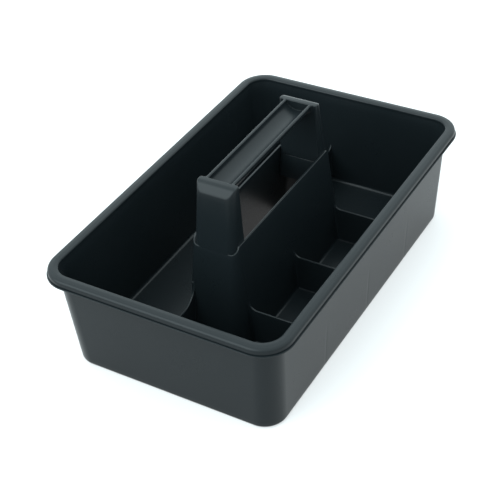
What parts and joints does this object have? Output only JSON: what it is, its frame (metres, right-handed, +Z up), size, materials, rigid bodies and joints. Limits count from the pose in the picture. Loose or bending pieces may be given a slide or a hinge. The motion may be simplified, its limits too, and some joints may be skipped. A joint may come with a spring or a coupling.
{
  "type": "cleaning caddy",
  "caption": "Open rectangular carry caddy with a rolled rim, a hollow centre housing under a fixed trough-section handle, a long bay behind it and short bays in front.",
  "frame": {"origin": "centre of the underside, on the surface that the caddy stands on", "axes": "+X along the length, towards the right with the short front bays facing the viewer; +Y across, towards the long bay; +Z up"},
  "size_m": [0.4, 0.2512, 0.169],
  "materials": {
    "slate_plastic": "satin moulded polypropylene, dark slate grey, smooth rolled edges and a fine matt grain on the faces"
  },
  "bodies": {
    "root": {"tub": "slate_plastic", "rolled_rim": "slate_plastic", "centre_housing": "slate_plastic", "handle_post_left": "slate_plastic", "handle_post_right": "slate_plastic", "handle_grip": "slate_plastic", "cross_divider_left": "slate_plastic", "cross_divider_middle": "slate_plastic", "cross_divider_right": "slate_plastic", "end_divider_left": "slate_plastic", "end_divider_right": "slate_plastic"}
  },
  "joints": []
}
